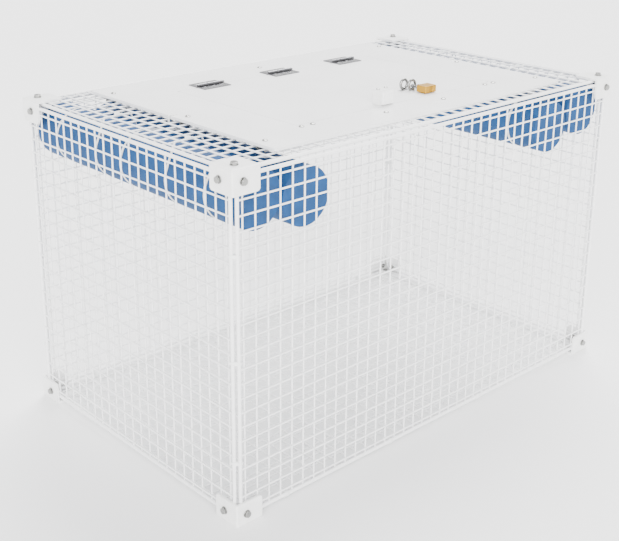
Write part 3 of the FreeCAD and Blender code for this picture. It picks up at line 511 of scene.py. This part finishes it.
made = Builder()
for box in islands("float_pair_ties"):
    middle = (box[0] + box[1]) / 2
    hand = "left" if middle.x < 0 else "right"
    outer, inner = (float_centre(f"{hand}_{which}") for which in ("outer", "inner"))
    y = min(ROWS["pair"], key=lambda row: abs(row - middle.y))
    lock = Vector((inner.x, y, inner.z - STRAPPED_R - 0.5 * TIE_THICK))
    circles = [(foam.x, foam.z, STRAPPED_R) for foam in (outer, inner)]
    tie(made, circles, Vector((0, y, 0)), X, Z, lock, X)
made.piece("float_pair_straps", ["float_pair_ties"], bevel=STRAP_SOFT)

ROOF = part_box("top_panel")[1].z
TIED_LINES = (16, 18)
ON_ROOF = 0.2 * MM
made = Builder()
for box in islands("float_top_ties"):
    middle = (box[0] + box[1]) / 2
    hand = side(middle.x)
    outer = float_centre("left_outer" if hand < 0 else "right_outer")
    y = min(ROWS["top"], key=lambda row: abs(row - middle.y))
    bend = MM
    tops = [(hand * n * PITCH, ROOF + ON_ROOF - bend, bend) for n in TIED_LINES]
    lock = Vector((hand * sum(TIED_LINES) / 2 * PITCH, y, ROOF + ON_ROOF + 0.5 * TIE_THICK))
    circles = ((outer.x, outer.z, STRAPPED_R), *tops)
    tie(made, circles, Vector((0, y, 0)), X, Z, lock, X)
made.piece("float_top_straps", ["float_top_ties"], bevel=STRAP_SOFT)

SHEET_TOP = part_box("top_sheet")[1].z
ON_SHEET = 0.3 * MM
made = Builder()
for low, high in islands("sheet_ties"):
    hand = side(low.x + high.x)
    y = (low.y + high.y) / 2
    bend = 0.8 * MM
    xs = (low.x + bend + TIE_THICK, high.x - bend - TIE_THICK)
    zs = (low.z + bend + TIE_THICK, SHEET_TOP + ON_SHEET - bend)
    circles = [(x, z, bend) for x in xs for z in zs]
    lock = Vector((hand * (abs(low.x + high.x) / 2 - MM), y, SHEET_TOP + ON_SHEET))
    made.band(belt(circles, Vector((0, y, 0)), X, Z), Y, TIE_WIDE, TIE_THICK)
    made.block(Matrix.Translation(lock + Z * 1.5 * MM), (5 * MM, HEAD_WIDE, 3 * MM))
made.piece("sheet_tie_straps", ["sheet_ties"], bevel=STRAP_SOFT)

# --------------------------------------------------------------------------- bolts and washers

BOLT_R, HEX_R, HEAD = 3 * MM, 5.8 * MM, 4 * MM
SMALL_BOLT_R, SMALL_HEX_R, PAN_R = 2.5 * MM, 4.6 * MM, 4.6 * MM
SCREW_R, SUNK_R, HANDLE_HEAD_R = 2 * MM, 3.9 * MM, 3.5 * MM
SUNK_RIM, HANDLE_HEAD = 0.5 * MM, 2 * MM
SOCKET_R, SOCKET_DEEP = 1.6 * MM, 0.8 * MM
BORE_PLAY = 0.15 * MM
THREAD_PITCH, THREAD_DEPTH = 1.0 * MM, 0.55 * MM
CAP_THREAD, SHEET_THREAD = 6 * MM, 8 * MM
RIM_SOFT, END_CHAMFER = 0.25 * MM, 0.8 * MM


def shank(made, place, radius, start, end, thread_from):
    """A bolt's shank: plain, then ringed with thread up to a chamfered end."""
    profile = [(radius, start), (radius, thread_from)]
    at = thread_from
    while at < end - 1.5 * THREAD_PITCH:
        profile += [(radius - THREAD_DEPTH, at + 0.5 * THREAD_PITCH), (radius, at + THREAD_PITCH)]
        at += THREAD_PITCH
    profile += [(radius - END_CHAMFER, end)]
    made.turned(profile, place, 20)


def ring(made, place, outer, bore, thick):
    """A flat washer with softened rims."""
    rim = outer - RIM_SOFT
    profile = [(bore, 0), (rim, 0), (outer, RIM_SOFT), (outer, thick - RIM_SOFT), (rim, thick),
               (bore, thick)]
    made.turned(profile, place, 40, loop=True)


made = Builder()
for box in islands("cap_bolts"):
    end, inward = pointed(box)
    place = aimed(end + inward * HEAD, inward)
    length = max(box[1] - box[0]) - HEAD
    made.hexed(HEX_R, 0, -HEAD, place, -HEX_SLOPE)
    shank(made, place, BOLT_R, -0.2 * MM, length, length - CAP_THREAD)
made.piece("cap_bolts_hex", ["cap_bolts"], sharp=30)

made = Builder()
for box in islands("cap_floor_bolts"):
    low, high = box
    middle = (low + high) / 2
    length = high.z - low.z
    place = aimed(Vector((middle.x, middle.y, low.z)), Z)
    made.turned([(0.3 * MM, SOCKET_DEEP), (SOCKET_R, SOCKET_DEEP), (SOCKET_R + 0.2 * MM, 0),
                 (2 * BOLT_R, 0), (2 * BOLT_R, 0.2 * MM), (BOLT_R, BOLT_R),
                 (BOLT_R, length - 1 * MM), (BOLT_R - END_CHAMFER, length)], place, 32)
made.piece("cap_floor_bolts_sunk", ["cap_floor_bolts"], sharp=30)


def washers(name, node, bore):
    """Every washer of one CAD node."""
    made = Builder()
    for box in islands(node):
        end, inward = pointed(box, longest=False)
        size = box[1] - box[0]
        ring(made, aimed(end, inward), max(size) / 2, bore, min(size))
    made.piece(name, [node], sharp=30)


def nuts(name, node, bore, across):
    """Every nut of one CAD node, chamfered on both faces."""
    made = Builder()
    for box in islands(node):
        size = box[1] - box[0]
        end, inward = pointed(box, longest=False)
        made.hexed(across, 0, min(size), aimed(end, inward), HEX_SLOPE, bore, both=True)
    made.piece(name, [node], sharp=30)


washers("cap_washer_rings", "cap_washers", BOLT_R + BORE_PLAY)
washers("sheet_clamp_rings", "sheet_clamp_washers", SMALL_BOLT_R + BORE_PLAY)
nuts("cap_nut_hexes", "cap_nuts", BOLT_R + BORE_PLAY, HEX_R)
nuts("sheet_nut_hexes", "sheet_nuts", SMALL_BOLT_R + BORE_PLAY, SMALL_HEX_R)
nuts("lid_eye_nut_hex", "lid_eye_nut", BOLT_R + BORE_PLAY, HEX_R)
nuts("fixed_eye_nut_hex", "fixed_eye_nut", BOLT_R + BORE_PLAY, HEX_R)


def cross_head(made, place, radius, height, dome, deep=1.1 * MM):
    """A round screw head with a cross recess: a disc whose top falls in along two arms."""
    sides, rows = 64, 14
    arm, reach = radius * 0.16, radius * 0.58
    rings = []
    for n in range(rows + 1):
        r = radius * (1 - n / rows) + 0.02 * MM
        circle = []
        top = height * (1 - dome * (r / radius) ** 2)
        for t in turns_of(sides, 0.5):
            x, y = r * math.cos(t), r * math.sin(t)
            inside = r < reach and min(abs(x), abs(y)) < arm
            circle.append(place @ Vector((x, y, top - (deep if inside else 0))))
        rings.append(circle)
    skirt = [place @ Vector((radius * math.cos(t), radius * math.sin(t), 0))
             for t in turns_of(sides, 0.5)]
    made.rings([skirt, *rings])


made = Builder()
for low, high in islands("sheet_bolts"):
    middle = (low + high) / 2
    foot = Vector((middle.x, middle.y, SHEET_TOP))
    cross_head(made, aimed(foot, Z), PAN_R, high.z - SHEET_TOP, 0.45)
    length = SHEET_TOP - low.z
    shank(made, aimed(foot, -Z), SMALL_BOLT_R, 0, length, length - SHEET_THREAD)
made.piece("sheet_bolts_pan", ["sheet_bolts"], sharp=40)


def sunk_screws(name, node, radius, body_r):
    """Countersunk screws, each with a cross recess in its head."""
    made = Builder()
    for low, high in islands(node):
        middle = (low + high) / 2
        place = aimed(Vector((middle.x, middle.y, high.z - SUNK_RIM)), Z)
        cross_head(made, place, radius, SUNK_RIM, 0.2, deep=0.9 * MM)
        made.turned([(radius, SUNK_RIM), (body_r, 2 * MM), (body_r, high.z - low.z)],
                    aimed(Vector((middle.x, middle.y, high.z)), -Z), 28)
    made.piece(name, [node], sharp=40)


sunk_screws("sheet_hinge_screws_cross", "sheet_hinge_screws", SUNK_R, SCREW_R)
sunk_screws("lid_hinge_screws_cross", "lid_hinge_screws", SUNK_R, SCREW_R)

made = Builder()
for low, high in islands("handle_screws"):
    middle = (low + high) / 2
    foot = Vector((middle.x, middle.y, low.z))
    neck = Vector((middle.x, middle.y, high.z - HANDLE_HEAD))
    cross_head(made, aimed(neck, Z), HANDLE_HEAD_R, HANDLE_HEAD, 0.4)
    made.rod(foot, neck, SCREW_R, 20)
made.piece("handle_screws_cross", ["handle_screws"], sharp=40)

# --------------------------------------------------------------------------- softened CAD shapes

# the bevel of each node; 0 leaves its edges as the CAD has them
for node, bevel in {
    "top_sheet": 0.0,
    "lid": 0.0,
    "handle_block": 1.2 * MM,
    "lock_bracket": 0.4 * MM,
    "hatch_clamp_plates": 0.25 * MM,
    "padlock_case": 1.1 * MM,
    "key_plug": 0.2 * MM,
    **{f"hinge_{hand}_{leaf}": 0.3 * MM
       for hand in ("left", "middle", "right") for leaf in ("fixed_leaf", "moving_leaf")},
}.items():
    softened(node, bevel)

# --------------------------------------------------------------------------- floor, light, camera


def stage_plane(name, size, colour):
    """A plain matt floor."""
    bpy.ops.mesh.primitive_plane_add(size=size)
    plane = bpy.context.object
    plane.name = name
    mat = bpy.data.materials.new(name)
    mat.use_nodes = True
    shader = mat.node_tree.nodes["Principled BSDF"]
    shader.inputs["Base Color"].default_value = (*colour, 1)
    shader.inputs["Roughness"].default_value = 0.9
    plane.data.materials.append(mat)


stage_plane("floor", 40, (0.93, 0.93, 0.93))

world = bpy.data.worlds.new("studio")
bpy.context.scene.world = world
world.use_nodes = True
backdrop = world.node_tree.nodes["Background"]
backdrop.inputs["Color"].default_value = (1, 1, 1, 1)
backdrop.inputs["Strength"].default_value = 1.5


def soft_sun(name, azimuth, height, strength, spread):
    """An even light from a compass side (0 is the front, 90 the right) with soft shadows."""
    light = bpy.data.lights.new(name, "SUN")
    light.energy = strength
    light.angle = math.radians(spread)
    holder = bpy.data.objects.new(name, light)
    bpy.context.scene.collection.objects.link(holder)
    turn, tilt = math.radians(azimuth), math.radians(height)
    level = math.cos(tilt)
    towards = Vector((math.sin(turn) * level, -math.cos(turn) * level, math.sin(tilt)))
    holder.rotation_euler = towards.to_track_quat("Z", "Y").to_euler()


soft_sun("key", 125, 52, 5.5, 35)
soft_sun("fill", -40, 24, 7, 60)

AZIMUTH, ELEVATION, ROLL = math.radians(-42.98), math.radians(18.36), math.radians(0.49)
TARGET, DISTANCE = Vector((0.149, 0.221, 0.300)), 2.502
BACK = Vector((
    math.sin(AZIMUTH) * math.cos(ELEVATION),
    -math.cos(AZIMUTH) * math.cos(ELEVATION),
    math.sin(ELEVATION),
))
camera = bpy.data.cameras.new("camera")
camera.sensor_width = 36
camera.lens = 64.96
camera.shift_y = -0.122
eye = bpy.data.objects.new("camera", camera)
bpy.context.scene.collection.objects.link(eye)
eye.location = TARGET + BACK * DISTANCE
eye.rotation_mode = "QUATERNION"
eye.rotation_quaternion = (-BACK).to_track_quat("-Z", "Y") @ Quaternion((0, 0, 1), ROLL)
bpy.context.scene.camera = eye
